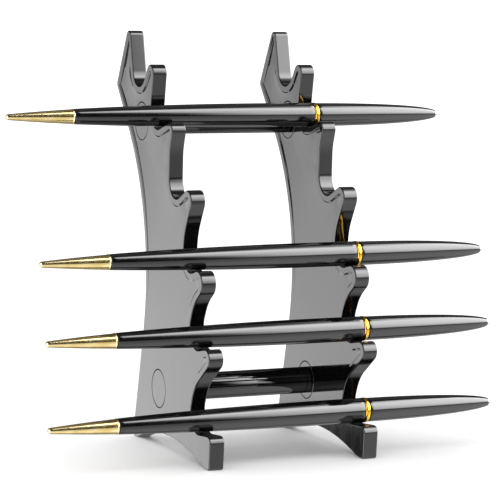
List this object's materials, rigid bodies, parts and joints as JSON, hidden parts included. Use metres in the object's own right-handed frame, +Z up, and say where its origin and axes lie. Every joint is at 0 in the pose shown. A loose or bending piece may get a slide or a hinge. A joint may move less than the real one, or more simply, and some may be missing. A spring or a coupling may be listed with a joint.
{
  "type": "pen rack with pens",
  "caption": "Stepped plastic pen rack of two hooked side plates and two round bars, with slim black and gold twist pens lying across its hooks.",
  "frame": {"origin": "on the table, under the centre of the whole part's box", "axes": "+X along the pens from tail to point, +Y away from the user, from the rack's stepped front to its back, +Z up"},
  "size_m": [0.178, 0.097, 0.1547],
  "materials": {
    "rack_plastic": "black injection-moulded plastic, glossy",
    "barrel_lacquer": "black gloss lacquer on metal tube",
    "gold_plate": "polished, gold coloured plating",
    "driver_brass": "plain turned brass",
    "refill_tube": "thin drawn metal tube",
    "refill_steel": "bright turned steel"
  },
  "bodies": {
    "rack": {"left_plate": "rack_plastic", "right_plate": "rack_plastic", "lower_bar": "rack_plastic", "lower_left_end_plug": "rack_plastic", "lower_right_end_plug": "rack_plastic", "upper_bar": "rack_plastic", "upper_left_end_plug": "rack_plastic", "upper_right_end_plug": "rack_plastic"},
    "pen_1_front": {"pen_1_front_barrel": "barrel_lacquer", "pen_1_centre_ring": "gold_plate"},
    "pen_1_rear": {"pen_1_rear_barrel": "barrel_lacquer", "pen_1_tail_cone": "gold_plate", "pen_1_driver_sleeve": "driver_brass"},
    "pen_1_refill": {"pen_1_refill_tube": "refill_tube", "pen_1_refill_holder": "driver_brass", "pen_1_refill_point": "refill_steel"},
    "pen_2_front": {"pen_2_front_barrel": "barrel_lacquer", "pen_2_centre_ring": "gold_plate"},
    "pen_2_rear": {"pen_2_rear_barrel": "barrel_lacquer", "pen_2_tail_cone": "gold_plate", "pen_2_driver_sleeve": "driver_brass"},
    "pen_2_refill": {"pen_2_refill_tube": "refill_tube", "pen_2_refill_holder": "driver_brass", "pen_2_refill_point": "refill_steel"},
    "pen_3_front": {"pen_3_front_barrel": "barrel_lacquer", "pen_3_centre_ring": "gold_plate"},
    "pen_3_rear": {"pen_3_rear_barrel": "barrel_lacquer", "pen_3_tail_cone": "gold_plate", "pen_3_driver_sleeve": "driver_brass"},
    "pen_3_refill": {"pen_3_refill_tube": "refill_tube", "pen_3_refill_holder": "driver_brass", "pen_3_refill_point": "refill_steel"},
    "pen_4_front": {"pen_4_front_barrel": "barrel_lacquer", "pen_4_centre_ring": "gold_plate"},
    "pen_4_rear": {"pen_4_rear_barrel": "barrel_lacquer", "pen_4_tail_cone": "gold_plate", "pen_4_driver_sleeve": "driver_brass"},
    "pen_4_refill": {"pen_4_refill_tube": "refill_tube", "pen_4_refill_holder": "driver_brass", "pen_4_refill_point": "refill_steel"}
  },
  "joints": [
    {"name": "pen_1_lift_out", "type": "slide", "parent": "rack", "child": "pen_1_front", "axis": [0, -0.7071, 0.7071], "range_m": [0, 0.025]},
    {"name": "pen_1_twist", "type": "hinge", "parent": "pen_1_front", "child": "pen_1_rear", "pos_m": [-0.004, 0.0038, 0.12318], "axis": [1, 0, 0], "range_deg": [0, 180]},
    {"name": "pen_1_refill_travel", "type": "slide", "parent": "pen_1_front", "child": "pen_1_refill", "axis": [-1, 0, 0], "range_m": [0, 0.004]},
    {"name": "pen_2_lift_out", "type": "slide", "parent": "rack", "child": "pen_2_front", "axis": [0, -0.7071, 0.7071], "range_m": [0, 0.025]},
    {"name": "pen_2_twist", "type": "hinge", "parent": "pen_2_front", "child": "pen_2_rear", "pos_m": [-0.0021, -0.0297, 0.07318], "axis": [1, 0, 0], "range_deg": [0, 180]},
    {"name": "pen_2_refill_travel", "type": "slide", "parent": "pen_2_front", "child": "pen_2_refill", "axis": [-1, 0, 0], "range_m": [0, 0.004]},
    {"name": "pen_3_lift_out", "type": "slide", "parent": "rack", "child": "pen_3_front", "axis": [0, -0.7071, 0.7071], "range_m": [0, 0.025]},
    {"name": "pen_3_twist", "type": "hinge", "parent": "pen_3_front", "child": "pen_3_rear", "pos_m": [-0.0021, -0.0362, 0.04618], "axis": [1, 0, 0], "range_deg": [0, 180]},
    {"name": "pen_3_refill_travel", "type": "slide", "parent": "pen_3_front", "child": "pen_3_refill", "axis": [-1, 0, 0], "range_m": [0, 0.004]},
    {"name": "pen_4_lift_out", "type": "slide", "parent": "rack", "child": "pen_4_front", "axis": [0, -0.7071, 0.7071], "range_m": [0, 0.025]},
    {"name": "pen_4_twist", "type": "hinge", "parent": "pen_4_front", "child": "pen_4_rear", "pos_m": [-0.0018, -0.0372, 0.01618], "axis": [1, 0, 0], "range_deg": [0, 180]},
    {"name": "pen_4_refill_travel", "type": "slide", "parent": "pen_4_front", "child": "pen_4_refill", "axis": [-1, 0, 0], "range_m": [0, 0.004]}
  ],
  "couplings": [
    {"joint": "pen_1_refill_travel", "follows": "pen_1_twist", "m_per_rad": 0.0012732},
    {"joint": "pen_2_refill_travel", "follows": "pen_2_twist", "m_per_rad": 0.0012732},
    {"joint": "pen_3_refill_travel", "follows": "pen_3_twist", "m_per_rad": 0.0012732},
    {"joint": "pen_4_refill_travel", "follows": "pen_4_twist", "m_per_rad": 0.0012732}
  ]
}
